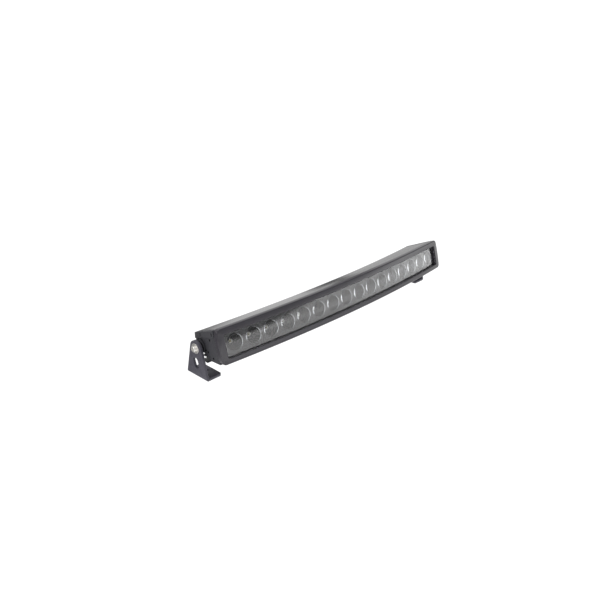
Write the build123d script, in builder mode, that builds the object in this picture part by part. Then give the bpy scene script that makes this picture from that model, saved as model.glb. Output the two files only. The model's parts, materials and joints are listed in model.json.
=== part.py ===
from build123d import *
from math import cos, degrees, sin, sqrt
import os

# Curved single-row LED light bar, held at its ends by two L-shaped brackets. Millimetres, +Z up.
# The origin is midway between the two mounting feet, on the plane of their undersides, straight
# below the tilt axis, which runs along X. The lamp faces -Y and leans back about that axis.
#
# Every lamp piece is modelled in the lamp's own frame, whose origin is the middle of the tilt axis.
# There s is the length along the bent bar from its middle, u is the distance in front of the
# optics' front plane, and v is the height above the optics' axis. SEAT puts the lamp in the brackets.

# Optics
OPTIC_COUNT = 16
PITCH = 49.0
REFLECTOR_R = 17.8          # clear radius of a reflector's mouth
REFLECTOR_WALL = 1.2
REFLECTOR_RIM_R = 19.9
RIM_U = -2.5                # front of a reflector's rim
REFLECTOR_REAR_U = -24.0
REFLECTOR_REAR_R = 5.0

# Bent bar
BEND_R = 2600.0             # bend radius at the optics' front plane
PIVOT_BEHIND = 107.4        # from the middle of the optics' front plane back to the tilt axis
PIVOT_BELOW = 3.7           # from the optics' axis down to the tilt axis
CAP_FACE_S = 414.5
CAP_T = 10.0
GASKET_T = 1.0
JOINT_U = -5.0              # where the bezel meets the housing
JOINT_GROOVE = 1.8          # chamfer along the housing's front edges

# Outlines of the housing, whose lower fins hang below the end caps, and of an end cap
UPPER_OUTLINE = [(JOINT_U, 40.0), (-42, 35.0), (-86, 28.5), (-92.5, 26.5), (-97, 12.0), (-99.5, 0.0)]
ENVELOPE = UPPER_OUTLINE + [
    (-101, -28.0), (-96, -48.0), (-86, -50.0), (-55, -38.0), (-41, -35.5), (JOINT_U, -38.0),
]
CAP_OUTLINE = UPPER_OUTLINE + [(-90, -16.0), (-72, -24.0), (-55, -29.0), (-41, -35.5), (JOINT_U, -38.0)]
OUTLINE_CORNER_R = 2.0
WEB_FRONT_U = -28.0
WEB_REAR_U = -34.0
TROUGH_TOP_V = 35.0
TROUGH_BOTTOM_V = -33.5
DUCT_REAR_U = -60.0         # rear of the driver duct
DUCT_HALF_V = 13.0
FIN_GAP = 5.5
FIN_ROOT_BY_DUCT_U = -63.0
FIN_ROOT_U = -38.0
FIN_GAPS_BY_DUCT = [-12.0, -4.0, 4.0, 12.0]
FIN_GAPS_OUTSIDE = [-20.0, 20.0]
LOWER_GAPS = [(-28.5, -84.0), (-37.0, -84.0)]     # height and root of each
BEHIND_U = -115.0           # anywhere behind the fins

# Bezel and lens
BEZEL_FRONT_U = 9.0
BEZEL_TOP_V = 42.0
BEZEL_BOTTOM_V = -39.0
BEZEL_S = 414.5
BEZEL_BOW = 3.0             # how far each end bows outwards between its corners
BEZEL_CORNER_R = 10.0
BEZEL_EDGE_R = 2.5
WINDOW_S = 396.0
WINDOW_V = 27.0
WINDOW_CORNER_R = 4.0
LENS_FRONT_U = 1.0
LENS_T = 3.0
LENS_S = 399.6
LENS_V = 30.6
FIT = 0.4                   # room round the lens in its rebate
HOLDER_T = 3.0
HOLDER_S = 400.5

# Boards
BOARD_T = 1.6
BOARD_S = 395.0
BOARD_V = 19.0
SCREW_R = 1.5
SCREW_HOLE_R = 1.65
BOARD_SCREW_HEAD_R = 2.75
BOARD_SCREW_HEAD_T = 2.0
BOARD_SCREW_S = [k * 2 * PITCH + PITCH for k in range(-4, 4)]
WIRE_HOLE_R = 3.0
LED_SIDE = 7.0
LED_BASE_T = 0.9
LED_DOME_R = 2.5
DRIVER_LENGTH = 280.0
DRIVER_WIDTH = 18.0
DRIVER_V = -10.5

# Cable gland, on a boss in the middle of the rear
BOSS_U = -101.0
BOSS_WIDTH = 40.0
BOSS_HEIGHT = 34.0
GLAND_THREAD_R = 6.0
GLAND_BORE_R = 3.6
NUT_BORE_R = 4.2
CABLE_R = 3.25              # bore of the rubber seal
GLAND_FLANGE = 19.0         # across flats
GLAND_FLANGE_T = 5.0
GLAND_BARREL_R = 7.5
GLAND_BARREL_T = 7.0
GLAND_NUT_T = 14.0
SEAL_R = 5.4

# End cap features, as (u, v)
CAP_SCREWS = [(-31, 15), (-31, -27.5), (-50, -15.25)]
CAP_SCREW_HEAD_R = 2.9
CAP_SCREW_HEAD_T = 3.0
CAP_SLOTS = [(-67.5, 24.2), (-13, 30.5)]
CAP_SLOT = (9.5, 4.4)
CAP_SLOT_LEAN = 18.0
CAP_SLOT_DEPTH = 8.0
LEDGE_REAR_V = 12.0
LEDGE_FRONT_V = 25.5
LEDGE_DEPTH = 2.0
VENT_AT = (-50, 3)
VENT_R = 6.5
VENT_STEM_R = 3.5

# Brackets and pivots
PIVOT_Z = 71.6
TILT_UP = 14.8              # how far the lamp leans back as shown
PLATE_OUTER_X = 417.0
PLATE_T = 6.0
BASE_WIDTH = 69.0
HEAD_R = 18.5
FOOT_LENGTH = 42.0
FOOT_CORNER_R = 5.0
BEND_OUTER_R = 5.0
BEND_INNER_R = 2.0
FOOT_HOLE_R = 5.0
FOOT_HOLE_INSET = 26.5
WINDOW_HOLE = (27.0, 16.5)  # slanting oblong hole, its top towards the rear
WINDOW_HOLE_AT = (1.0, 34.5)
WINDOW_HOLE_LEAN = 18.0
BOLT_R = 4.0
RUNNING_CLEARANCE = 0.08
FACE_GAP = 0.05             # between faces that turn against each other
BOSS_FACE_X = 404.5
PIVOT_BOSS_R = 14.5
POCKET_R = 19.0             # round pocket in the cap about the pivot boss
POCKET_FLOOR_X = 395.5
SPACER_R = 13.0
WASHER_R = 12.0
WASHER_T = 1.8
SPRING_WASHER_R = 7.4
SPRING_WASHER_T = 2.0
HEAD_T = 4.4
BOLT_HEAD_R = 7.0
BOLT_END_X = 391.5
SOCKET_FLATS = 5.0
SOCKET_DEPTH = 2.6

# Worked out from the above
ARC_Y = BEND_R - PIVOT_BEHIND
BODY_S = CAP_FACE_S - CAP_T - GASKET_T
PLATE_X = PLATE_OUTER_X - PLATE_T
BEND_AXIS = Axis((0, ARC_Y, 0), (0, 0, 1))
SEAT = Location((0, 0, PIVOT_Z), (-TILT_UP, 0, 0))
HERE = Location((0, 0, 0))
OPTIC_S = [(k - (OPTIC_COUNT - 1) / 2) * PITCH for k in range(OPTIC_COUNT)]
BOARD_FRONT_U = WEB_FRONT_U + BOARD_T
LENS_REAR_U = LENS_FRONT_U - LENS_T

os.makedirs("parts", exist_ok=True)


def section(s):
    """Plane across the bar at s: its x is u and its y is v."""
    a = s / BEND_R
    middle = (BEND_R * sin(a), ARC_Y - BEND_R * cos(a), PIVOT_BELOW)
    return Plane(origin=middle, x_dir=(sin(a), -cos(a), 0), z_dir=(-cos(a), -sin(a), 0))


def facing(s, u=0.0):
    """Plane square to the light at s and u: its x runs along the bar, its y up, its z forwards."""
    a = s / BEND_R
    r = BEND_R + u
    middle = (r * sin(a), ARC_Y - r * cos(a), PIVOT_BELOW)
    return Plane(origin=middle, x_dir=(cos(a), sin(a), 0), z_dir=(sin(a), -cos(a), 0))


def arc_of(half_length):
    """Angle, in degrees, of a stretch of the bar that reaches half_length each way."""
    return degrees(2 * half_length / BEND_R)


def bar_of(half_length, u_low, u_high, v_low, v_high, mode=Mode.ADD):
    """Adds or cuts a bent bar with a rectangular section."""
    with BuildSketch(section(-half_length)) as across:
        with Locations(((u_low + u_high) / 2, (v_low + v_high) / 2)):
            Rectangle(u_high - u_low, v_high - v_low)
    revolve(across.sketch, axis=BEND_AXIS, revolution_arc=arc_of(half_length), mode=mode)


def cap_plane(depth=0.0):
    """Plane parallel to the right end cap's outer face and depth below it, facing into the bar."""
    return section(CAP_FACE_S - CAP_T).offset(depth - CAP_T)


def u_of(point):
    """Distance of a point in front of the optics' front plane."""
    return sqrt(point.X**2 + (point.Y - ARC_Y) ** 2) - BEND_R


def write(piece, name, place=SEAT):
    """Labels a finished piece and writes it where it belongs."""
    piece.part.label = name
    export_step(piece.part.moved(place), f"parts/{name}.step")


def write_pair(piece, name, place=SEAT):
    """Writes the right-hand piece and its mirror image on the left."""
    write(piece, "right_" + name, place)
    with BuildPart() as twin:
        mirror(piece.part, about=Plane.YZ)
    write(twin, "left_" + name, place)


# Housing: a bent aluminium extrusion. A trough in front takes the optics, a duct behind its web
# takes the driver, and fins run the length of the rear.
with BuildPart() as heat_sink:
    with BuildSketch(section(-BODY_S)) as profile:
        with BuildLine():
            Polyline(*ENVELOPE, close=True)
        make_face()
        fillet(profile.vertices().filter_by(lambda p: p.X < JOINT_U - 1), OUTLINE_CORNER_R)
        chamfer(profile.vertices().filter_by(lambda p: p.X > JOINT_U - 1), JOINT_GROOVE)
        with Locations(((WEB_FRONT_U + 1) / 2, (TROUGH_TOP_V + TROUGH_BOTTOM_V) / 2)):
            Rectangle(1 - WEB_FRONT_U, TROUGH_TOP_V - TROUGH_BOTTOM_V, mode=Mode.SUBTRACT)
        with Locations(((WEB_REAR_U + DUCT_REAR_U) / 2, 0)):
            Rectangle(WEB_REAR_U - DUCT_REAR_U, 2 * DUCT_HALF_V, mode=Mode.SUBTRACT)
        for gap_v in FIN_GAPS_BY_DUCT:
            with Locations(((BEHIND_U + FIN_ROOT_BY_DUCT_U) / 2, gap_v)):
                Rectangle(FIN_ROOT_BY_DUCT_U - BEHIND_U, FIN_GAP, mode=Mode.SUBTRACT)
        for gap_v in FIN_GAPS_OUTSIDE:
            with Locations(((BEHIND_U + FIN_ROOT_U) / 2, gap_v)):
                Rectangle(FIN_ROOT_U - BEHIND_U, FIN_GAP, mode=Mode.SUBTRACT)
        for gap_v, root_u in LOWER_GAPS:
            with Locations(((BEHIND_U + root_u) / 2, gap_v)):
                Rectangle(root_u - BEHIND_U, FIN_GAP, mode=Mode.SUBTRACT)
        with BuildLine():
            Polyline((-38, 25.5), (-38, 32), (-70, 27), (-70, 25.5), close=True)
        make_face(mode=Mode.SUBTRACT)
        with Locations(*CAP_SCREWS):
            Circle(SCREW_HOLE_R, mode=Mode.SUBTRACT)
    revolve(axis=BEND_AXIS, revolution_arc=arc_of(BODY_S))
    with BuildSketch(facing(0, BOSS_U)):
        RectangleRounded(BOSS_WIDTH, BOSS_HEIGHT, 4)
    extrude(amount=DUCT_REAR_U - BOSS_U - 0.5)
    with BuildSketch(facing(0, BOSS_U)):
        Circle(GLAND_THREAD_R + 0.05)
    extrude(amount=DUCT_REAR_U - BOSS_U + 2, mode=Mode.SUBTRACT)
    for s in BOARD_SCREW_S:
        with BuildSketch(facing(s, WEB_REAR_U - 1)):
            Circle(SCREW_HOLE_R)
        extrude(amount=WEB_FRONT_U - WEB_REAR_U + 2, mode=Mode.SUBTRACT)
    with BuildSketch(facing(0, WEB_REAR_U - 1)):
        Circle(WIRE_HOLE_R)
    extrude(amount=WEB_FRONT_U - WEB_REAR_U + 2, mode=Mode.SUBTRACT)
write(heat_sink, "heat_sink")

# End cap: a cast plate that closes the housing, proud above a sloping ledge, with two blind slots
# under its top edge, and a boss in a round pocket, square to the tilt axis, for the pivot bolt.
with BuildPart() as right_end_cap:
    with BuildSketch(cap_plane()) as outline:
        with BuildLine():
            Polyline(*[(min(u, JOINT_U - FACE_GAP), v) for u, v in CAP_OUTLINE], close=True)
        make_face()
        fillet(outline.vertices().filter_by(lambda p: p.X < JOINT_U - 1), OUTLINE_CORNER_R)
    extrude(amount=CAP_T)
    with BuildSketch(cap_plane()):
        with BuildLine():
            Polyline((BEHIND_U, LEDGE_REAR_V - 2), (5, LEDGE_FRONT_V), (5, -60), (BEHIND_U, -60), close=True)
        make_face()
    extrude(amount=LEDGE_DEPTH, mode=Mode.SUBTRACT)
    with BuildSketch(cap_plane()):
        with Locations(*CAP_SLOTS):
            SlotOverall(*CAP_SLOT, rotation=90 - CAP_SLOT_LEAN)
    extrude(amount=CAP_SLOT_DEPTH, mode=Mode.SUBTRACT)
    with BuildSketch(Plane.YZ.offset(POCKET_FLOOR_X)):
        Circle(POCKET_R)
    extrude(amount=30, mode=Mode.SUBTRACT)
    with BuildSketch(Plane.YZ.offset(POCKET_FLOOR_X - 1)):
        Circle(PIVOT_BOSS_R)
    extrude(amount=BOSS_FACE_X - POCKET_FLOOR_X + 1)
    with BuildSketch(Plane.YZ.offset(BOLT_END_X - 20)):
        Circle(BOLT_R + FACE_GAP)
    extrude(amount=50, mode=Mode.SUBTRACT)
    with BuildSketch(cap_plane()):
        with Locations(*CAP_SCREWS):
            Circle(CAP_SCREW_HEAD_R + 0.1)
    extrude(amount=LEDGE_DEPTH + CAP_SCREW_HEAD_T, mode=Mode.SUBTRACT)
    with BuildSketch(cap_plane()):
        with Locations(*CAP_SCREWS):
            Circle(SCREW_HOLE_R)
    extrude(amount=CAP_T, mode=Mode.SUBTRACT)
with BuildPart() as left_end_cap:
    mirror(right_end_cap.part, about=Plane.YZ)
write(left_end_cap, "left_end_cap")

# The right cap also carries the breather vent.
with BuildPart() as vented_end_cap:
    add(right_end_cap.part)
    with BuildSketch(cap_plane()):
        with Locations(VENT_AT):
            Circle(VENT_STEM_R + 0.05)
    extrude(amount=CAP_T, mode=Mode.SUBTRACT)
write(vented_end_cap, "right_end_cap")

with BuildPart() as breather_vent:
    with BuildSketch(cap_plane(LEDGE_DEPTH)):
        with Locations(VENT_AT):
            Circle(VENT_STEM_R)
    extrude(amount=CAP_T - LEDGE_DEPTH - 1)
    with BuildSketch(cap_plane(LEDGE_DEPTH)):
        with Locations(VENT_AT):
            Circle(VENT_R)
    extrude(amount=-2.2)
    chamfer(breather_vent.faces().sort_by(Axis.X)[-1].edges(), 0.6)
    with BuildSketch(cap_plane(LEDGE_DEPTH - 2.2)):
        with Locations(VENT_AT):
            with PolarLocations(3.6, 6):
                Circle(0.7)
    extrude(amount=1.2, mode=Mode.SUBTRACT)
write(breather_vent, "breather_vent")

with BuildPart() as end_gasket:
    with BuildSketch(section(BODY_S)) as sheet:
        with BuildLine():
            Polyline(*CAP_OUTLINE, close=True)
        make_face()
        fillet(sheet.vertices().filter_by(lambda p: p.X < JOINT_U - 1), OUTLINE_CORNER_R)
        offset(amount=-0.8, mode=Mode.REPLACE)
        with Locations(((WEB_FRONT_U + 1) / 2, (TROUGH_TOP_V + TROUGH_BOTTOM_V) / 2)):
            Rectangle(-WEB_FRONT_U + 1 - 12, TROUGH_TOP_V - TROUGH_BOTTOM_V - 8, mode=Mode.SUBTRACT)
        with Locations(((WEB_REAR_U + DUCT_REAR_U) / 2, 0)):
            Rectangle(WEB_REAR_U - DUCT_REAR_U - 2, 2 * DUCT_HALF_V - 2, mode=Mode.SUBTRACT)
        with Locations(*CAP_SCREWS):
            Circle(SCREW_HOLE_R, mode=Mode.SUBTRACT)
    revolve(axis=BEND_AXIS, revolution_arc=degrees(GASKET_T / BEND_R))
write_pair(end_gasket, "end_gasket")

with BuildPart() as end_cap_screws:
    with BuildSketch(cap_plane(LEDGE_DEPTH)):
        with Locations(*CAP_SCREWS):
            Circle(CAP_SCREW_HEAD_R)
    extrude(amount=CAP_SCREW_HEAD_T)
    with BuildSketch(cap_plane(LEDGE_DEPTH)):
        with Locations(*CAP_SCREWS):
            Circle(SCREW_R)
    extrude(amount=CAP_T + 8)
    with BuildSketch(cap_plane(LEDGE_DEPTH)):
        with Locations(*CAP_SCREWS):
            RegularPolygon(1.25, 6, major_radius=False)
    extrude(amount=1.8, mode=Mode.SUBTRACT)
write_pair(end_cap_screws, "end_cap_screws")

# Bezel: a moulded frame with bowed ends, rounded front edges and a rebate behind for the lens.
with BuildPart() as front_bezel:
    bar_of(BEZEL_S, JOINT_U, BEZEL_FRONT_U, BEZEL_BOTTOM_V, BEZEL_TOP_V)
    for side in (-1, 1):
        with BuildSketch(facing(side * BEZEL_S)) as trim:
            Rectangle(60, 140)
            corner = -side * BEZEL_BOW
            with BuildLine():
                Polyline((corner, BEZEL_TOP_V), (-side * 40, BEZEL_TOP_V),
                         (-side * 40, BEZEL_BOTTOM_V), (corner, BEZEL_BOTTOM_V))
                ThreePointArc((corner, BEZEL_BOTTOM_V), (0, (BEZEL_TOP_V + BEZEL_BOTTOM_V) / 2),
                              (corner, BEZEL_TOP_V))
            make_face(mode=Mode.SUBTRACT)
            inner = trim.vertices().filter_by(lambda p: abs(p.X - corner) < 0.01 and abs(p.Y) < 60)
            fillet(inner, BEZEL_CORNER_R)
        extrude(amount=20, both=True, mode=Mode.SUBTRACT)
    rim = front_bezel.edges().filter_by(
        lambda e: all(abs(u_of(e @ t) - BEZEL_FRONT_U) < 0.02 for t in (0, 0.3, 0.5, 1)))
    fillet(rim, BEZEL_EDGE_R)
    bar_of(WINDOW_S, JOINT_U - 1, BEZEL_FRONT_U + 1, -WINDOW_V, WINDOW_V, mode=Mode.SUBTRACT)
    corners = front_bezel.edges().filter_by(
        lambda e: e.length < 30 and abs(e.center().X) > WINDOW_S - 8 and abs(e.center().X) < WINDOW_S
        and abs(abs(e.center().Z - PIVOT_BELOW) - WINDOW_V) < 0.1)
    fillet(corners, WINDOW_CORNER_R)
    mouth = front_bezel.edges().filter_by(
        lambda e: all(abs(u_of(e @ t) - BEZEL_FRONT_U) < 0.02 for t in (0, 0.3, 0.5, 1))
        and abs(e.center().Z - PIVOT_BELOW) < WINDOW_V + 0.5 and abs(e.center().X) < WINDOW_S + 0.5)
    chamfer(mouth, 1.2)
    bar_of(LENS_S + FIT, JOINT_U - 1, LENS_FRONT_U, -LENS_V - FIT, LENS_V + FIT, mode=Mode.SUBTRACT)
write(front_bezel, "front_bezel")

with BuildPart() as outer_lens:
    bar_of(LENS_S, LENS_REAR_U, LENS_FRONT_U, -LENS_V, LENS_V)
write(outer_lens, "outer_lens")

with BuildPart() as lens_gasket:
    bar_of(LENS_S, JOINT_U, LENS_REAR_U, -LENS_V, LENS_V)
    bar_of(LENS_S - 3.4, JOINT_U - 1, LENS_REAR_U + 1, -LENS_V + 3.4, LENS_V - 3.4, mode=Mode.SUBTRACT)
write(lens_gasket, "lens_gasket")

# Optic holder: a plate across the trough with a hole for each reflector, on two long walls.
with BuildPart() as optic_holder:
    bar_of(HOLDER_S, JOINT_U - HOLDER_T, JOINT_U, TROUGH_BOTTOM_V + 0.5, TROUGH_TOP_V - 0.5)
    for wall_v in (-28.0, 28.0):
        bar_of(BOARD_S, WEB_FRONT_U, JOINT_U - HOLDER_T + 0.5, wall_v - 1, wall_v + 1)
    for s in OPTIC_S:
        with BuildSketch(facing(s, JOINT_U - HOLDER_T - 1)):
            Circle(REFLECTOR_R + REFLECTOR_WALL + 0.2)
        extrude(amount=HOLDER_T + 3, mode=Mode.SUBTRACT)
write(optic_holder, "optic_holder")

# One reflector, in its own frame: z forwards, with z = 0 at the optics' front plane.
with BuildPart() as reflector:
    with BuildSketch(Plane.XZ):
        with BuildLine():
            inner_arc = ThreePointArc((REFLECTOR_REAR_R, REFLECTOR_REAR_U), (13.2, -14), (REFLECTOR_R, RIM_U))
            Line(inner_arc @ 1, (REFLECTOR_RIM_R, RIM_U))
            Line((REFLECTOR_RIM_R, RIM_U), (REFLECTOR_RIM_R, JOINT_U + 0.2))
            Line((REFLECTOR_RIM_R, JOINT_U + 0.2), (REFLECTOR_R + 1, JOINT_U + 0.2))
            outer_arc = ThreePointArc((REFLECTOR_R + 1, JOINT_U + 0.2), (14.6, -14.6), (7.6, -23.6))
            Line(outer_arc @ 1, (7.6, BOARD_FRONT_U))
            Line((7.6, BOARD_FRONT_U), (6.4, BOARD_FRONT_U))
            Line((6.4, BOARD_FRONT_U), (6.4, REFLECTOR_REAR_U - 0.4))
            Line((6.4, REFLECTOR_REAR_U - 0.4), (REFLECTOR_REAR_R, REFLECTOR_REAR_U - 0.4))
            Line((REFLECTOR_REAR_R, REFLECTOR_REAR_U - 0.4), (REFLECTOR_REAR_R, REFLECTOR_REAR_U))
        make_face()
    revolve(axis=Axis.Z)

# One LED package, in the same frame: a square ceramic base under a clear dome.
with BuildPart() as led:
    with BuildSketch(Plane.XY.offset(BOARD_FRONT_U)):
        RectangleRounded(LED_SIDE, LED_SIDE, 0.8)
    extrude(amount=LED_BASE_T)
    with Locations((0, 0, BOARD_FRONT_U + LED_BASE_T - 0.1)):
        Sphere(LED_DOME_R, arc_size1=0, align=(Align.CENTER, Align.CENTER, Align.MIN))

for number, s in enumerate(OPTIC_S, start=1):
    for shape, name in ((reflector, "optic"), (led, "led")):
        with BuildPart() as placed:
            add(shape.part.moved(facing(s).location))
        write(placed, f"{name}_{number:02d}")

with BuildPart() as led_board:
    bar_of(BOARD_S, WEB_FRONT_U, BOARD_FRONT_U, -BOARD_V, BOARD_V)
    for s, hole_r in [(s, SCREW_HOLE_R) for s in BOARD_SCREW_S] + [(0, WIRE_HOLE_R)]:
        with BuildSketch(facing(s, WEB_FRONT_U - 1)):
            Circle(hole_r)
        extrude(amount=BOARD_T + 2, mode=Mode.SUBTRACT)
write(led_board, "led_board")

with BuildPart() as board_screws:
    for s in BOARD_SCREW_S:
        with BuildSketch(facing(s, WEB_REAR_U + 0.5)):
            Circle(SCREW_R)
        extrude(amount=BOARD_FRONT_U - WEB_REAR_U)
        with BuildSketch(facing(s, BOARD_FRONT_U + 0.02)):
            Circle(BOARD_SCREW_HEAD_R)
        extrude(amount=BOARD_SCREW_HEAD_T)
write(board_screws, "board_screws")

# Driver: a straight circuit board low in the duct, with its coils, capacitors and chips.
DRIVER_U = (WEB_REAR_U + DUCT_REAR_U) / 2 - 2
with BuildPart() as driver_board:
    with BuildSketch(facing(0, DRIVER_U)):
        with Locations((0, DRIVER_V)):
            Rectangle(DRIVER_LENGTH, BOARD_T)
    extrude(amount=DRIVER_WIDTH / 2, both=True)
    top_z = PIVOT_BELOW + DRIVER_V + BOARD_T / 2
    middle_y = -PIVOT_BEHIND - DRIVER_U
    with BuildSketch(Plane.XY.offset(top_z)):
        with Locations(*[(x, middle_y) for x in (-110, -40, 40, 110)]):
            RectangleRounded(13, 13, 2)
    extrude(amount=8)
    with BuildSketch(Plane.XY.offset(top_z)):
        with Locations(*[(x, middle_y) for x in (-88, -64, 64, 88)]):
            Circle(5)
    extrude(amount=12)
    with BuildSketch(Plane.XY.offset(top_z)):
        with Locations(*[(x, middle_y) for x in (-14, 14)]):
            Rectangle(10, 8)
    extrude(amount=2.4)
write(driver_board, "driver_board")

# Cable gland in the rear boss: flanged body, rubber seal and cap nut on one bore.
FLANGE_U = BOSS_U - GLAND_FLANGE_T
with BuildPart() as cable_gland:
    with BuildSketch(facing(0, FLANGE_U)):
        RegularPolygon(GLAND_FLANGE / 2, 6, major_radius=False)
    extrude(amount=GLAND_FLANGE_T)
    with BuildSketch(facing(0, BOSS_U)):
        Circle(GLAND_THREAD_R)
    extrude(amount=10)
    with BuildSketch(facing(0, FLANGE_U)):
        Circle(GLAND_BARREL_R)
    extrude(amount=-GLAND_BARREL_T)
    with BuildSketch(facing(0, FLANGE_U - GLAND_BARREL_T)):
        Circle(SEAL_R + 0.05)
    extrude(amount=GLAND_BARREL_T, mode=Mode.SUBTRACT)
    with BuildSketch(facing(0, FLANGE_U - GLAND_BARREL_T)):
        Circle(GLAND_BORE_R)
    extrude(amount=GLAND_BARREL_T + GLAND_FLANGE_T + 10, mode=Mode.SUBTRACT)
write(cable_gland, "cable_gland")

with BuildPart() as gland_seal:
    with BuildSketch(facing(0, FLANGE_U)):
        Circle(SEAL_R)
        Circle(CABLE_R, mode=Mode.SUBTRACT)
    extrude(amount=-GLAND_BARREL_T - 2)
write(gland_seal, "gland_seal")

with BuildPart() as gland_nut:
    with BuildSketch(facing(0, FLANGE_U - 0.3)):
        RegularPolygon(GLAND_FLANGE / 2, 6, major_radius=False)
    extrude(amount=-(GLAND_NUT_T - 4))
    with BuildSketch(facing(0, FLANGE_U - 0.3 - GLAND_NUT_T + 4)):
        Circle(GLAND_FLANGE / 2 - 0.5)
    extrude(amount=-4, taper=30)
    with BuildSketch(facing(0, FLANGE_U)):
        Circle(GLAND_BARREL_R + 0.1)
    extrude(amount=-GLAND_BARREL_T - 0.1, mode=Mode.SUBTRACT)
    with BuildSketch(facing(0, FLANGE_U)):
        Circle(SEAL_R + 0.1)
    extrude(amount=-GLAND_BARREL_T - 2.1, mode=Mode.SUBTRACT)
    with BuildSketch(facing(0, FLANGE_U)):
        Circle(NUT_BORE_R)
    extrude(amount=-GLAND_NUT_T - 2, mode=Mode.SUBTRACT)
write(gland_nut, "gland_nut")

# Pivots: from the cap's boss outwards lie the spacer, the bracket, the washer, the spring washer
# and the head of the bolt. The bolt, washers and spacer turn with the lamp.
with BuildPart() as spacer:
    with BuildSketch(Plane.YZ.offset(BOSS_FACE_X)):
        Circle(SPACER_R)
        Circle(BOLT_R + FACE_GAP, mode=Mode.SUBTRACT)
    extrude(amount=PLATE_X - BOSS_FACE_X - FACE_GAP)
    chamfer(spacer.faces().sort_by(Axis.X)[-1].outer_wire().edges(), 0.8)
write_pair(spacer, "spacer")

WASHER_X = PLATE_OUTER_X + FACE_GAP
with BuildPart() as washer:
    with BuildSketch(Plane.YZ.offset(WASHER_X)):
        Circle(WASHER_R)
        Circle(BOLT_R + FACE_GAP, mode=Mode.SUBTRACT)
    extrude(amount=WASHER_T)
    chamfer(washer.faces().sort_by(Axis.X)[-1].outer_wire().edges(), 0.5)
write_pair(washer, "washer")

SPRING_WASHER_X = WASHER_X + WASHER_T
with BuildPart() as spring_washer:
    with BuildSketch(Plane.YZ.offset(SPRING_WASHER_X)):
        Circle(SPRING_WASHER_R)
        Circle(BOLT_R + FACE_GAP, mode=Mode.SUBTRACT)
        with Locations((0, SPRING_WASHER_R)):
            Rectangle(1, 2 * (SPRING_WASHER_R - BOLT_R) + 2, mode=Mode.SUBTRACT)
    extrude(amount=SPRING_WASHER_T)
write_pair(spring_washer, "spring_washer")

HEAD_X = SPRING_WASHER_X + SPRING_WASHER_T
with BuildPart() as pivot_bolt:
    with BuildSketch(Plane.YZ.offset(BOLT_END_X)):
        Circle(BOLT_R)
    extrude(amount=HEAD_X - BOLT_END_X)
    with BuildSketch(Plane.YZ.offset(HEAD_X)):
        Circle(BOLT_HEAD_R)
    extrude(amount=HEAD_T)
    fillet(pivot_bolt.faces().sort_by(Axis.X)[-1].edges(), 2.8)
    with BuildSketch(Plane.YZ.offset(HEAD_X + HEAD_T)):
        RegularPolygon(SOCKET_FLATS / 2, 6, major_radius=False)
    extrude(amount=-SOCKET_DEPTH, mode=Mode.SUBTRACT)
    chamfer(pivot_bolt.faces().sort_by(Axis.X)[0].edges(), 0.6)
write_pair(pivot_bolt, "pivot_bolt")

# Bracket: steel plate, bent at its base into a foot that turns inwards under the lamp.
with BuildPart() as bracket:
    with BuildSketch(Plane.YZ.offset(PLATE_X)):
        with Locations((0, PIVOT_Z)):
            Circle(HEAD_R)
        with Locations((0, PLATE_T / 2)):
            Rectangle(BASE_WIDTH, PLATE_T)
        make_hull()
    extrude(amount=PLATE_T)
    with BuildSketch(Plane.XY) as foot:
        with Locations((PLATE_OUTER_X - FOOT_LENGTH / 2, 0)):
            Rectangle(FOOT_LENGTH, BASE_WIDTH)
        fillet(foot.vertices().group_by(Axis.X)[0], FOOT_CORNER_R)
    extrude(amount=PLATE_T)
    outer_bend = bracket.edges().filter_by(Axis.Y).group_by(Axis.Z)[0].sort_by(Axis.X)[-1]
    fillet(outer_bend, BEND_OUTER_R)
    inner_bend = bracket.edges().filter_by(Axis.Y).filter_by(
        lambda e: abs(e.center().X - PLATE_X) < 0.01 and abs(e.center().Z - PLATE_T) < 0.01)
    fillet(inner_bend, BEND_INNER_R)
    with BuildSketch(Plane.YZ.offset(PLATE_X - 1)):
        with Locations((0, PIVOT_Z)):
            Circle(BOLT_R + RUNNING_CLEARANCE)
        with Locations(WINDOW_HOLE_AT):
            SlotOverall(*WINDOW_HOLE, rotation=90 - WINDOW_HOLE_LEAN)
    extrude(amount=PLATE_T + 2, mode=Mode.SUBTRACT)
    with BuildSketch(Plane.XY.offset(-1)):
        with Locations((PLATE_OUTER_X - FOOT_HOLE_INSET, 0)):
            Circle(FOOT_HOLE_R)
    extrude(amount=PLATE_T + 2, mode=Mode.SUBTRACT)
write_pair(bracket, "bracket", HERE)
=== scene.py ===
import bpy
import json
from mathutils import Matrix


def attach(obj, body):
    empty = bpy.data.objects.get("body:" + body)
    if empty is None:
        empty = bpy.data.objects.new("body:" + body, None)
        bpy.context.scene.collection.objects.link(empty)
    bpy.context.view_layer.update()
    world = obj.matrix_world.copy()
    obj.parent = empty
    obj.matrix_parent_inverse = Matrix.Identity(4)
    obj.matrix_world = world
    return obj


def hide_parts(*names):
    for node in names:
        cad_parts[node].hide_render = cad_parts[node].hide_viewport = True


bl_info = {
    "name": "Curved LED light bar",
    "version": (1, 0, 0),
    "blender": (4, 5, 0),
    "location": "View3D > Sidebar > Light Bar",
    "description": "Dresses the packed light bar: reflectors, eased edges, finishes, floor and lights",
    "category": "Object",
}

import json
from math import cos, hypot, pi, radians, sin

import bmesh
import bpy
from bpy.props import FloatProperty, IntProperty, PointerProperty
from mathutils import Matrix, Vector

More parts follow.
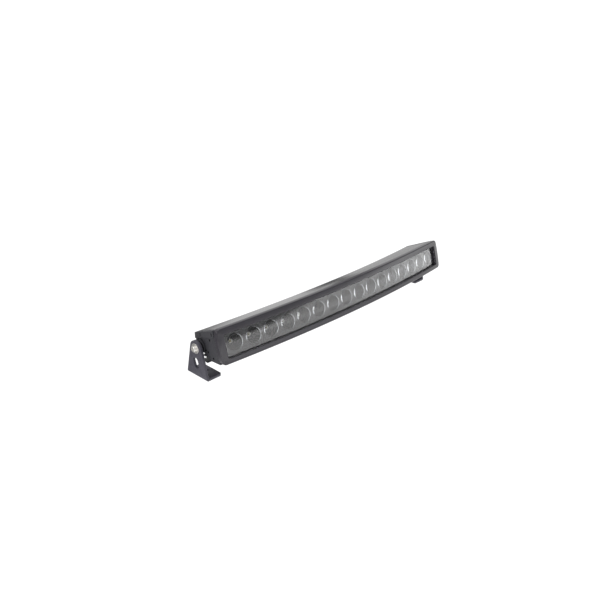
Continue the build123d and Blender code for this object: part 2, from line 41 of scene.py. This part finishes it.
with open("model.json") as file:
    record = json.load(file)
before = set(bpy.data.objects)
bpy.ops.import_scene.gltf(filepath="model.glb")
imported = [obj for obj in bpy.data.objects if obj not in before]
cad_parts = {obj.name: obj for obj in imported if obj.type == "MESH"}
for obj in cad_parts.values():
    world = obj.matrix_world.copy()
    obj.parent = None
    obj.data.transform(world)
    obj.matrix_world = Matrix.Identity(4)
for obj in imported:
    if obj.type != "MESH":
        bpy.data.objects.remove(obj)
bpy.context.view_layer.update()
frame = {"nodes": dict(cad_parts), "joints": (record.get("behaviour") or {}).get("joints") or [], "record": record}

LAMP = "lamp"
BRACKETS = "mounting_brackets"
PIVOT = Vector(frame["joints"][0]["pos_m"])

# The lamp's own geometry, in metres: the bend through the optics' front plane and its seat.
BEND_R = 2.600
PIVOT_BEHIND = 0.1074
PIVOT_BELOW = 0.0037
LEAN_BACK = radians(14.8)
OPTIC_COUNT = 16
MM = 0.001

# Heights in a reflector, in front of the optics' front plane, and the radii of its tail
THROAT_W = -24.0 * MM
MOUTH_W = -2.6 * MM
RIM_TOP_W = -2.3 * MM
RIM_EDGE_W = -4.2 * MM
RIM_BACK_W = -4.8 * MM
TAIL_W = -26.3 * MM
TAIL_OUTER_R = 7.6 * MM
TAIL_INNER_R = 6.4 * MM
WALL = 1.3 * MM

# Edges sharper than the first are rounded, and those sharper than the second stay creased
BEVEL_ABOVE = radians(30)
CREASE_ABOVE = radians(28)

# How bright the stage is to the camera, to matt surfaces, to reflections, and to light that has come
# out through the lens
FLOOR_WHITE = 1.15
FLOOR_GLOW = 0.75
ROOM_SHINE = 0.6
ROOM_BACK = 0.85
ROOM_FRONT = 0.25
ROOM_IN_OPTICS = 0.08
LAMP_IN_OPTICS = 2.0


# ---------------------------------------------------------------- helpers

def lamp_matrix():
    """Carries a point from the lamp's own frame to its place."""
    return Matrix.Translation(PIVOT) @ Matrix.Rotation(-LEAN_BACK, 4, "X")


def facing(s):
    """Carries x along the bar, y up and z forwards to the place s along the bend."""
    a = s / BEND_R
    turn = Matrix(((cos(a), 0, sin(a)), (sin(a), 0, -cos(a)), (0, 1, 0))).to_4x4()
    place = Vector((BEND_R * sin(a), BEND_R - PIVOT_BEHIND - BEND_R * cos(a), PIVOT_BELOW))
    return lamp_matrix() @ Matrix.Translation(place) @ turn


def colour(text):
    """Linear RGBA of an sRGB hex colour."""
    values = [int(text[i:i + 2], 16) / 255 for i in (1, 3, 5)]
    return tuple(v / 12.92 if v <= 0.04045 else ((v + 0.055) / 1.055) ** 2.4 for v in values) + (1.0,)


def add_node(tree, kind, settings=None, links=None):
    """Adds a node, sets its properties and sockets, and links sockets of other nodes to its own."""
    made = tree.nodes.new(kind)
    for key, value in (settings or {}).items():
        if isinstance(key, str) and hasattr(made, key):
            setattr(made, key, value)
        else:
            made.inputs[key].default_value = value
    for key, source in (links or {}).items():
        tree.links.new(source, made.inputs[key])
    return made


def new_material(name, settings):
    """A Principled material with these settings; returns it, its tree, shader and coordinates."""
    material = bpy.data.materials.new(name)
    material.use_nodes = True
    tree = material.node_tree
    shader = tree.nodes["Principled BSDF"]
    for key, value in settings.items():
        shader.inputs[key].default_value = value
    where = add_node(tree, "ShaderNodeTexCoord").outputs["Object"]
    return material, tree, shader, where


def grain(tree, shader, where, size_mm, height_mm, stretch=(1, 1, 1), detail=2.0):
    """Bump of the given grain size and height, stretched along the axes given."""
    aim = add_node(tree, "ShaderNodeMapping", {"Scale": stretch}, {"Vector": where})
    noise = add_node(tree, "ShaderNodeTexNoise", {"Scale": 1 / (size_mm * MM), "Detail": detail},
                     {"Vector": aim.outputs["Vector"]})
    bump = add_node(tree, "ShaderNodeBump", {"Strength": 1.0, "Distance": height_mm * MM},
                    {"Height": noise.outputs["Fac"]})
    tree.links.new(bump.outputs["Normal"], shader.inputs["Normal"])
    return noise.outputs["Fac"]


def vary(tree, socket, where, size_mm, low, high, stretch=(1, 1, 1)):
    """Lets a shader value wander between low and high over patches of the given size."""
    aim = add_node(tree, "ShaderNodeMapping", {"Scale": stretch}, {"Vector": where})
    noise = add_node(tree, "ShaderNodeTexNoise", {"Scale": 1 / (size_mm * MM), "Detail": 3.0},
                     {"Vector": aim.outputs["Vector"]})
    span = add_node(tree, "ShaderNodeMapRange", {"To Min": low, "To Max": high},
                    {"Value": noise.outputs["Fac"]})
    tree.links.new(span.outputs["Result"], socket)


def tint(tree, shader, where, size_mm, dark, light, wear_and_highlight=None):
    """Mottles the base colour between two close hex colours, and blends the convex edges towards a third, as wear
    and a painted edge highlight.
    """
    noise = add_node(tree, "ShaderNodeTexNoise", {"Scale": 1 / (size_mm * MM), "Detail": 3.0},
                     {"Vector": where})
    ramp = add_node(tree, "ShaderNodeValToRGB", links={"Fac": noise.outputs["Fac"]})
    ramp.color_ramp.elements[0].position = 0.35
    ramp.color_ramp.elements[0].color = colour(dark)
    ramp.color_ramp.elements[1].position = 0.65
    ramp.color_ramp.elements[1].color = colour(light)
    result = ramp.outputs["Color"]
    if wear_and_highlight:
        # Convex edges are blended towards the third colour: wear together with a painted edge highlight.
        bend = add_node(tree, "ShaderNodeNewGeometry").outputs["Pointiness"]
        edge = add_node(tree, "ShaderNodeMapRange", {"From Min": 0.51, "From Max": 0.56, "To Max": 0.7},
                        {"Value": bend})
        mix = add_node(tree, "ShaderNodeMix", {"data_type": "RGBA"},
                       {"Factor": edge.outputs["Result"]})
        tree.links.new(result, mix.inputs[6])
        mix.inputs[7].default_value = colour(wear_and_highlight)
        result = mix.outputs[2]
    tree.links.new(result, shader.inputs["Base Color"])


# ---------------------------------------------------------------- materials

def black_anodised():
    # Extruded aluminium, etched and dyed black: a soft gloss with faint draw lines along the bar.
    material, tree, shader, where = new_material(
        "Black anodised aluminium", {"Metallic": 0.0, "IOR": 1.6, "Specular IOR Level": 0.6})
    tint(tree, shader, where, 60, "#131117", "#19171e")
    vary(tree, shader.inputs["Roughness"], where, 3, 0.12, 0.18, (0.02, 1, 1))
    grain(tree, shader, where, 0.8, 0.004, (0.01, 1, 1))
    return material


def cast_black():
    # Die-cast aluminium under black powder coat: matt, with a fine orange peel.
    material, tree, shader, where = new_material("Black powder coat on cast aluminium", {"IOR": 1.5})
    # The lighter third colour on the convex edges is wear and a painted edge highlight.
    tint(tree, shader, where, 14, "#39383d", "#414045", "#4b4b50")
    vary(tree, shader.inputs["Roughness"], where, 5, 0.46, 0.58)
    grain(tree, shader, where, 0.9, 0.05)
    return material


def bracket_coat():
    # Bent steel plate under black powder coat, a little blue-grey in the light.
    material, tree, shader, where = new_material("Black powder coat on steel", {"IOR": 1.5})
    # The third colour on the convex edges stands for wear and a painted edge highlight.
    tint(tree, shader, where, 10, "#54525d", "#5f5d68", "#56545e")
    vary(tree, shader.inputs["Roughness"], where, 4, 0.45, 0.6)
    grain(tree, shader, where, 1.0, 0.06)
    return material


def gloss_black():
    # Injection-moulded black ABS with a polished face: sharp reflections with a slight ripple.
    material, tree, shader, where = new_material("Gloss black ABS", {"IOR": 1.54})
    tint(tree, shader, where, 40, "#37343c", "#3d3a43")
    vary(tree, shader.inputs["Roughness"], where, 9, 0.13, 0.2)
    grain(tree, shader, where, 22, 0.02)
    return material


def clear_lens():
    # Hard-coated polycarbonate sheet: clear, faintly grey at its edges.
    material, tree, shader, where = new_material(
        "Clear polycarbonate", {"Transmission Weight": 1.0, "IOR": 1.58, "Base Color": colour("#fbfcfc")})
    vary(tree, shader.inputs["Roughness"], where, 30, 0.0, 0.015)
    return material


def holder_black():
    # Glass-filled nylon, moulded matt black.
    material, tree, shader, where = new_material("Moulded black nylon", {"IOR": 1.53})
    tint(tree, shader, where, 12, "#18161b", "#1e1c21")
    vary(tree, shader.inputs["Roughness"], where, 4, 0.38, 0.5)
    grain(tree, shader, where, 0.7, 0.02)
    return material


def metallised():
    # Vacuum-metallised polycarbonate: a bright mirror with a faint haze.
    material, tree, shader, where = new_material(
        "Metallised polycarbonate", {"Metallic": 1.0, "Base Color": colour("#dcdde0")})
    vary(tree, shader.inputs["Roughness"], where, 6, 0.04, 0.12)
    grain(tree, shader, where, 2.4, 0.3)
    return material


def metallising_painted_dark():
    # The same metallising, darkened inside the bowls as painted shade.
    material, tree, shader, where = new_material(
        "Metallising darkened as painted shade", {"Metallic": 1.0, "Base Color": colour("#3c3c40")})
    vary(tree, shader.inputs["Roughness"], where, 4, 0.06, 0.16)
    grain(tree, shader, where, 2, 0.03)
    return material


def phosphor():
    # White ceramic under a yellow phosphor and a clear silicone dome.
    material, tree, shader, where = new_material(
        "LED phosphor under silicone", {"IOR": 1.41, "Coat Weight": 0.6, "Coat Roughness": 0.05})
    tint(tree, shader, where, 2, "#6b6346", "#7d7558")
    vary(tree, shader.inputs["Roughness"], where, 2, 0.25, 0.35)
    return material


def white_board():
    # Aluminium-core circuit board under white solder mask.
    material, tree, shader, where = new_material("White solder mask", {"IOR": 1.5})
    tint(tree, shader, where, 8, "#dcdcd8", "#ecece8")
    vary(tree, shader.inputs["Roughness"], where, 3, 0.3, 0.42)
    grain(tree, shader, where, 0.6, 0.01)
    return material


def green_board():
    # Epoxy-glass circuit board under green solder mask.
    material, tree, shader, where = new_material("Green solder mask", {"IOR": 1.5})
    tint(tree, shader, where, 5, "#0d4a26", "#13602f")
    vary(tree, shader.inputs["Roughness"], where, 3, 0.3, 0.45)
    grain(tree, shader, where, 0.5, 0.02)
    return material


def silicone():
    # Moulded silicone rubber: matt black and a little dusty.
    material, tree, shader, where = new_material("Silicone rubber", {"IOR": 1.41})
    tint(tree, shader, where, 6, "#0f0f10", "#171718")
    vary(tree, shader.inputs["Roughness"], where, 2, 0.65, 0.8)
    grain(tree, shader, where, 0.5, 0.02)
    return material


def gland_nylon():
    # Moulded nylon fittings: satin black with a fine spark-eroded grain.
    material, tree, shader, where = new_material("Satin black nylon", {"IOR": 1.53})
    tint(tree, shader, where, 6, "#151517", "#1d1d1f")
    vary(tree, shader.inputs["Roughness"], where, 3, 0.4, 0.52)
    grain(tree, shader, where, 0.4, 0.02)
    return material


def black_oxide():
    # Hardened steel with a black oxide finish: dark, oily sheen.
    material, tree, shader, where = new_material("Black oxide steel", {"Metallic": 1.0})
    tint(tree, shader, where, 3, "#1e1e20", "#2b2b2d")
    vary(tree, shader.inputs["Roughness"], where, 1, 0.3, 0.45)
    return material


def stainless():
    # A2 stainless steel, turned and tumbled: bright, with fine lathe marks and soft edges.
    material, tree, shader, where = new_material("A2 stainless steel", {"Metallic": 1.0})
    tint(tree, shader, where, 3, "#e8e5e0", "#f4f2ef")
    vary(tree, shader.inputs["Roughness"], where, 1.2, 0.3, 0.42)
    grain(tree, shader, where, 0.5, 0.006)
    return material


FINISHES = {
    "black_anodised": black_anodised,
    "black_powder": cast_black,
    "bracket_powder": bracket_coat,
    "gloss_black": gloss_black,
    "clear_polycarbonate": clear_lens,
    "holder_black": holder_black,
    "reflector_metallised": metallised,
    "reflector_bowl": metallising_painted_dark,
    "led_ceramic": phosphor,
    "board_white": white_board,
    "board_green": green_board,
    "silicone": silicone,
    "gland_nylon": gland_nylon,
    "black_screw": black_oxide,
    "stainless": stainless,
    "spacer_rubber": silicone,
}
SLOT_OF = {row["node"]: row["material_slot"] for row in frame["record"]["subparts"]}
made_materials = {}


def finish_of(slot_name):
    """The material for a slot of the record, made once."""
    build = FINISHES[slot_name]
    if build.__name__ not in made_materials:
        made_materials[build.__name__] = build()
    return made_materials[build.__name__]


def add_piece(name, bm, slot_name, body, stands_for):
    """Turns a bmesh into a finished piece that rides on a body and stands for a CAD node."""
    mesh = bpy.data.meshes.new(name)
    bm.to_mesh(mesh)
    bm.free()
    piece = bpy.data.objects.new(name, mesh)
    bpy.context.scene.collection.objects.link(piece)
    mesh.materials.append(finish_of(slot_name))
    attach(piece, body)
    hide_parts(stands_for)
    return piece


# ---------------------------------------------------------------- pieces

def body_of(node):
    """The body that a CAD node rides on."""
    return BRACKETS if node.endswith("_bracket") else LAMP


def eased_copy(node, name, width):
    """A copy of a CAD node with its faces made whole, its sharp edges rounded and its bends smooth."""
    bm = bmesh.new()
    bm.from_mesh(frame["nodes"][node].data)
    bmesh.ops.remove_doubles(bm, verts=bm.verts, dist=0.004 * MM)
    bmesh.ops.dissolve_limit(bm, angle_limit=radians(0.4), verts=bm.verts, edges=bm.edges)
    if width:
        edges = [e for e in bm.edges if e.is_manifold and e.calc_face_angle() > BEVEL_ABOVE]
        bmesh.ops.bevel(bm, geom=edges, offset=width, segments=2, profile=0.5, affect="EDGES",
                        material=-1, clamp_overlap=True)
    bmesh.ops.triangulate(bm, faces=[f for f in bm.faces if len(f.verts) > 4])
    for face in bm.faces:
        face.smooth = True
    for edge in bm.edges:
        edge.smooth = not (edge.is_manifold and edge.calc_face_angle() > CREASE_ABOVE)
    add_piece(name, bm, SLOT_OF[node], body_of(node), node)


class LIGHTBAR_OT_reflectors(bpy.types.Operator):
    """Makes the sixteen faceted reflectors"""
    bl_idname = "lightbar.reflectors"
    bl_label = "Reflectors"

    def execute(self, context):
        sizes = context.scene.lightbar_optics
        for number in range(1, OPTIC_COUNT + 1):
            s = (number - (OPTIC_COUNT + 1) / 2) * sizes.pitch
            self.one(number, s, sizes)
        return {"FINISHED"}

    def one(self, number, s, sizes):
        """One reflector: a bowl of flat facets darkened as painted shade, a bright sloping rim, and a smooth back.
        """
        bm = bmesh.new()
        inner = []
        for step in range(sizes.rings + 1):
            t = step / sizes.rings
            r = (sizes.throat ** 2 + (sizes.mouth ** 2 - sizes.throat ** 2) * t) ** 0.5
            inner.append((r, THROAT_W + (MOUTH_W - THROAT_W) * t))
        outer = [(sizes.mouth + 0.4 * MM, RIM_TOP_W), (sizes.rim, RIM_EDGE_W),
                 (sizes.rim, RIM_BACK_W), (sizes.mouth + 1 * MM, RIM_BACK_W)]
        outer += [(r + WALL, w) for r, w in reversed(inner[2:-1])]
        outer += [(TAIL_OUTER_R, THROAT_W + 2 * MM), (TAIL_OUTER_R, TAIL_W), (TAIL_INNER_R, TAIL_W),
                  (TAIL_INNER_R, THROAT_W - 0.4 * MM), (sizes.throat, THROAT_W - 0.4 * MM)]
        loop = [bm.verts.new((r, 0, w)) for r, w in inner + outer]
        edges = [bm.edges.new((a, b)) for a, b in zip(loop, loop[1:] + loop[:1])]
        bmesh.ops.spin(bm, geom=loop + edges, cent=(0, 0, 0), axis=(0, 0, 1), dvec=(0, 0, 0),
                       angle=2 * pi, steps=sizes.facets, use_merge=True)
        bmesh.ops.remove_doubles(bm, verts=bm.verts, dist=0.01 * MM)
        bmesh.ops.recalc_face_normals(bm, faces=bm.faces)
        for face in bm.faces:
            middle = face.calc_center_median()
            face.smooth = face.normal.z < 0.05
            # The flat inner facets of the bowl take the second material, the metallising darkened as painted
            # shade; the rim and back stay bright.
            face.material_index = int(not face.smooth and hypot(middle.x, middle.y) < sizes.mouth)
        bm.transform(facing(s))
        piece = add_piece(
            f"faceted_reflector_{number:02d}", bm, "reflector_metallised", LAMP, f"optic_{number:02d}")
        piece.data.materials.append(finish_of("reflector_bowl"))


class LIGHTBAR_OT_metalwork(bpy.types.Operator):
    """Eases the edges of the brackets, end caps, bolts and washers"""
    bl_idname = "lightbar.metalwork"
    bl_label = "Brackets, caps and bolts"

    def execute(self, context):
        ease = context.scene.lightbar_edges
        for side in ("left", "right"):
            eased_copy(f"{side}_bracket", f"{side}_bracket_plate", ease.plate)
            eased_copy(f"{side}_end_cap", f"{side}_cast_cap", ease.casting)
            eased_copy(f"{side}_pivot_bolt", f"{side}_button_head_bolt", ease.fastener)
            eased_copy(f"{side}_washer", f"{side}_wide_washer", ease.fastener)
            eased_copy(f"{side}_spacer", f"{side}_round_spacer", ease.fastener)
        return {"FINISHED"}


class LIGHTBAR_OT_shells(bpy.types.Operator):
    """Makes the bezel and the housing smooth along their bend"""
    bl_idname = "lightbar.shells"
    bl_label = "Bezel and housing"

    def execute(self, context):
        ease = context.scene.lightbar_edges
        eased_copy("front_bezel", "bezel_frame", 0.0)
        eased_copy("heat_sink", "finned_housing", 0.0)
        eased_copy("outer_lens", "lens_sheet", 0.0)
        eased_copy("gland_nut", "gland_cap_nut", ease.fastener)
        eased_copy("cable_gland", "gland_body", ease.fastener)
        return {"FINISHED"}


class LIGHTBAR_OT_finishes(bpy.types.Operator):
    """Gives every carried-over node its material"""
    bl_idname = "lightbar.finishes"
    bl_label = "Finishes"

    def execute(self, context):
        for node, thing in frame["nodes"].items():
            thing.data.materials.clear()
            thing.data.materials.append(finish_of(SLOT_OF[node]))
        return {"FINISHED"}


# ---------------------------------------------------------------- stage

def soft_box(name, place, aim, size, power):
    """A rectangular area lamp that points at a place."""
    data = bpy.data.lights.new(name, "AREA")
    data.shape = "RECTANGLE"
    data.size, data.size_y = size
    data.energy = power
    lamp = bpy.data.objects.new(name, data)
    bpy.context.scene.collection.objects.link(lamp)
    lamp.location = place
    lamp.rotation_euler = (Vector(aim) - Vector(place)).to_track_quat("-Z", "Y").to_euler()


def feed(tree, socket, value):
    """Sets a socket to a number, or links it to another socket."""
    if isinstance(value, (int, float)):
        socket.default_value = value
    else:
        tree.links.new(value, socket)


def choose(tree, switch, off, on):
    """Goes from off to on as the switch goes from 0 to 1."""
    mix = add_node(tree, "ShaderNodeMix", links={"Factor": switch})
    feed(tree, mix.inputs[2], off)
    feed(tree, mix.inputs[3], on)
    return mix.outputs[0]


def blend_along(tree, value, start, end, low, high):
    """Goes smoothly from low to high as the value goes from start to end."""
    step = add_node(tree, "ShaderNodeMapRange",
                    {"interpolation_type": "SMOOTHSTEP", "From Min": start, "From Max": end},
                    {"Value": value})
    return choose(tree, step.outputs["Result"], low, high)


def times(tree, one, other):
    """The product of two values."""
    product = add_node(tree, "ShaderNodeMath", {"operation": "MULTIPLY"})
    feed(tree, product.inputs[0], one)
    feed(tree, product.inputs[1], other)
    return product.outputs["Value"]


def gap_at(tree, value, middle, half_width, depth):
    """Dips from 1 to depth about a middle value."""
    fall = blend_along(tree, value, middle - half_width, middle - half_width / 2, 1.0, depth)
    return blend_along(tree, value, middle + half_width / 2, middle + half_width, fall, 1.0)


def inside(tree, path):
    """1 for light that has come out through the lens, else 0."""
    return add_node(tree, "ShaderNodeMath", {"operation": "GREATER_THAN", 1: 0.5},
                    {0: path.outputs["Transmission Depth"]}).outputs["Value"]


class LIGHTBAR_OT_stage(bpy.types.Operator):
    """Adds the floor, the surroundings, the soft lights and the camera"""
    bl_idname = "lightbar.stage"
    bl_label = "Stage"

    def execute(self, context):
        view = context.scene.lightbar_view
        self.floor()
        self.surroundings()
        context.scene.view_settings.view_transform = "Standard"
        soft_box("overhead_softbox", (-0.3, 0.2, 2.2), (0, 0, 0), (1.6, 1.2), 11)
        soft_box("side_softbox", (-2.4, -0.6, 1.4), (-0.3, 0, 0.1), (1.2, 1.2), 10)
        target = Vector((view.target_x, view.target_y, view.target_z))
        az, el = view.azimuth, view.elevation
        away = Vector((sin(az) * cos(el), -cos(az) * cos(el), sin(el)))
        data = bpy.data.cameras.new("camera")
        data.lens = view.lens
        data.clip_end = 100
        camera = bpy.data.objects.new("camera", data)
        context.scene.collection.objects.link(camera)
        camera.location = target + away * view.distance
        camera.rotation_euler = (-away).to_track_quat("-Z", "Y").to_euler()
        context.scene.camera = camera
        return {"FINISHED"}

    def floor(self):
        """A pale light table. Reflections see a bright field ahead and a slanting dark gap behind."""
        bm = bmesh.new()
        bmesh.ops.create_grid(bm, x_segments=1, y_segments=1, size=30)
        mesh = bpy.data.meshes.new("floor")
        bm.to_mesh(mesh)
        bm.free()
        floor = bpy.data.objects.new("floor", mesh)
        bpy.context.scene.collection.objects.link(floor)
        # Translucent white acrylic, lit evenly from below.
        material = bpy.data.materials.new("Lit white acrylic")
        material.use_nodes = True
        material.cycles.emission_sampling = "NONE"
        tree = material.node_tree
        tree.nodes.clear()
        where = add_node(tree, "ShaderNodeTexCoord").outputs["Object"]
        place = add_node(tree, "ShaderNodeSeparateXYZ", links={"Vector": where})
        x, y = place.outputs["X"], place.outputs["Y"]
        # Ahead of the bar it is dark far off, bright in the middle distance and dimmer close by.
        front = blend_along(tree, y, -4.6, -3.0, 0.42, 2.6)
        front = blend_along(tree, y, -1.4, -0.7, front, 1.2)
        front = times(tree, front, gap_at(tree, x, 1.2, 0.24, 1.25))
        # Behind the bar it is dark to the left and pale to the right, with the gap between.
        back = blend_along(tree, x, -0.16, 0.02, 0.30, 0.80)
        slanted = add_node(tree, "ShaderNodeMath", {"operation": "MULTIPLY_ADD", 1: -1.4},
                           {0: y, 2: x}).outputs["Value"]
        back = times(tree, back, gap_at(tree, slanted, -0.14, 0.11, 0.15))
        back = times(tree, back, blend_along(tree, x, 0.6, 0.75, 1.0, 0.85))
        shown = blend_along(tree, y, -0.05, 0.05, front, back)
        path = add_node(tree, "ShaderNodeLightPath")
        level = choose(tree, path.outputs["Is Glossy Ray"], FLOOR_GLOW, shown)
        # Light that leaves through the lens meets one bright strip, just ahead of the bar.
        strip = blend_along(tree, y, -1.2, -0.8, ROOM_IN_OPTICS, LAMP_IN_OPTICS)
        strip = blend_along(tree, y, -0.14, -0.10, strip, ROOM_IN_OPTICS)
        level = choose(tree, inside(tree, path), level, strip)
        level = choose(tree, path.outputs["Is Camera Ray"], level, FLOOR_WHITE)
        glow = add_node(tree, "ShaderNodeEmission", links={"Strength": level})
        add_node(tree, "ShaderNodeOutputMaterial", links={"Surface": glow.outputs["Emission"]})
        mesh.materials.append(material)

    def surroundings(self):
        """A white backdrop behind the bar and a dim room ahead, with a lamp low in front of the optics."""
        world = bpy.data.worlds.new("pale_room")
        bpy.context.scene.world = world
        world.use_nodes = True
        world.cycles.sampling_method = "NONE"
        tree = world.node_tree
        where = add_node(tree, "ShaderNodeTexCoord").outputs["Generated"]
        way = add_node(tree, "ShaderNodeSeparateXYZ", links={"Vector": where})
        room = blend_along(tree, way.outputs["Y"], -0.05, 0.35, ROOM_FRONT, ROOM_BACK)
        low = blend_along(tree, way.outputs["Z"], 0.7, 0.9, 1.0, 0.0)
        ahead = blend_along(tree, way.outputs["Y"], -0.55, -0.3, 1.0, 0.0)
        optics = choose(tree, times(tree, low, ahead), ROOM_IN_OPTICS, LAMP_IN_OPTICS)
        path = add_node(tree, "ShaderNodeLightPath")
        glossy = times(tree, gap_at(tree, way.outputs["Y"], 0.69, 0.035, 0.4), ROOM_SHINE)
        level = choose(tree, path.outputs["Is Glossy Ray"], room, glossy)
        level = choose(tree, inside(tree, path), level, optics)
        level = choose(tree, path.outputs["Is Camera Ray"], level, FLOOR_WHITE)
        tree.links.new(level, tree.nodes["Background"].inputs["Strength"])
        tree.nodes["Background"].inputs["Color"].default_value = colour("#ffffff")


# ---------------------------------------------------------------- settings

class LightBarOptics(bpy.types.PropertyGroup):
    """Sizes of the reflectors"""
    pitch: FloatProperty(name="Pitch", description="Reflector to reflector along the bend",
                         default=0.049, unit="LENGTH")
    mouth: FloatProperty(name="Mouth", description="Clear radius of a reflector's mouth",
                         default=0.0181, unit="LENGTH")
    rim: FloatProperty(name="Rim", description="Outer radius of a reflector's rim",
                       default=0.0198, unit="LENGTH")
    throat: FloatProperty(name="Throat", description="Radius of the opening round the LED",
                          default=0.005, unit="LENGTH")
    rings: IntProperty(name="Rings", description="Rings of facets from throat to mouth", default=7)
    facets: IntProperty(name="Facets", description="Facets round each ring", default=30)


class LightBarEdges(bpy.types.PropertyGroup):
    """How far sharp edges are eased"""
    plate: FloatProperty(name="Plate", description="Rounding of the brackets' edges",
                         default=0.0006, unit="LENGTH")
    casting: FloatProperty(name="Casting", description="Rounding of the end caps' edges",
                           default=0.0009, unit="LENGTH")
    fastener: FloatProperty(name="Fastener", description="Rounding of small turned parts",
                            default=0.0002, unit="LENGTH")


class LightBarView(bpy.types.PropertyGroup):
    """Where the camera stands"""
    azimuth: FloatProperty(name="Azimuth", description="Turn of the camera from straight ahead",
                           default=radians(-46.1), subtype="ANGLE")
    elevation: FloatProperty(name="Elevation", description="Height of the camera as an angle",
                             default=radians(23.83), subtype="ANGLE")
    distance: FloatProperty(name="Distance", description="From the camera to its target",
                            default=1.501, unit="LENGTH")
    lens: FloatProperty(name="Lens", description="Focal length in millimetres", default=39.80)
    target_x: FloatProperty(name="Target X", description="Point looked at", default=-0.1972, unit="LENGTH")
    target_y: FloatProperty(name="Target Y", description="Point looked at", default=-0.1074, unit="LENGTH")
    target_z: FloatProperty(name="Target Z", description="Point looked at", default=0.1509, unit="LENGTH")


OPERATORS = (LIGHTBAR_OT_reflectors, LIGHTBAR_OT_metalwork, LIGHTBAR_OT_shells, LIGHTBAR_OT_finishes,
             LIGHTBAR_OT_stage)


class LIGHTBAR_PT_panel(bpy.types.Panel):
    """Lists the light bar's operators and sizes"""
    bl_label = "Light Bar"
    bl_idname = "LIGHTBAR_PT_panel"
    bl_space_type = "VIEW_3D"
    bl_region_type = "UI"
    bl_category = "Light Bar"

    def draw(self, context):
        for operator in OPERATORS:
            self.layout.operator(operator.bl_idname)
        for name in GROUPS:
            group = getattr(context.scene, name)
            box = self.layout.box()
            for key in group.bl_rna.properties.keys():
                if key not in ("rna_type", "name"):
                    box.prop(group, key)


GROUPS = {
    "lightbar_optics": LightBarOptics,
    "lightbar_edges": LightBarEdges,
    "lightbar_view": LightBarView,
}


def register():
    for group in GROUPS.values():
        bpy.utils.register_class(group)
    for cls in OPERATORS + (LIGHTBAR_PT_panel,):
        bpy.utils.register_class(cls)
    for name, group in GROUPS.items():
        setattr(bpy.types.Scene, name, PointerProperty(type=group))


def unregister():
    for name in GROUPS:
        delattr(bpy.types.Scene, name)
    for cls in reversed(OPERATORS + (LIGHTBAR_PT_panel,)):
        bpy.utils.unregister_class(cls)
    for group in GROUPS.values():
        bpy.utils.unregister_class(group)


def main():
    register()
    bpy.ops.lightbar.finishes()
    bpy.ops.lightbar.reflectors()
    bpy.ops.lightbar.metalwork()
    bpy.ops.lightbar.shells()
    bpy.ops.lightbar.stage()


if __name__ == "__main__":
    main()
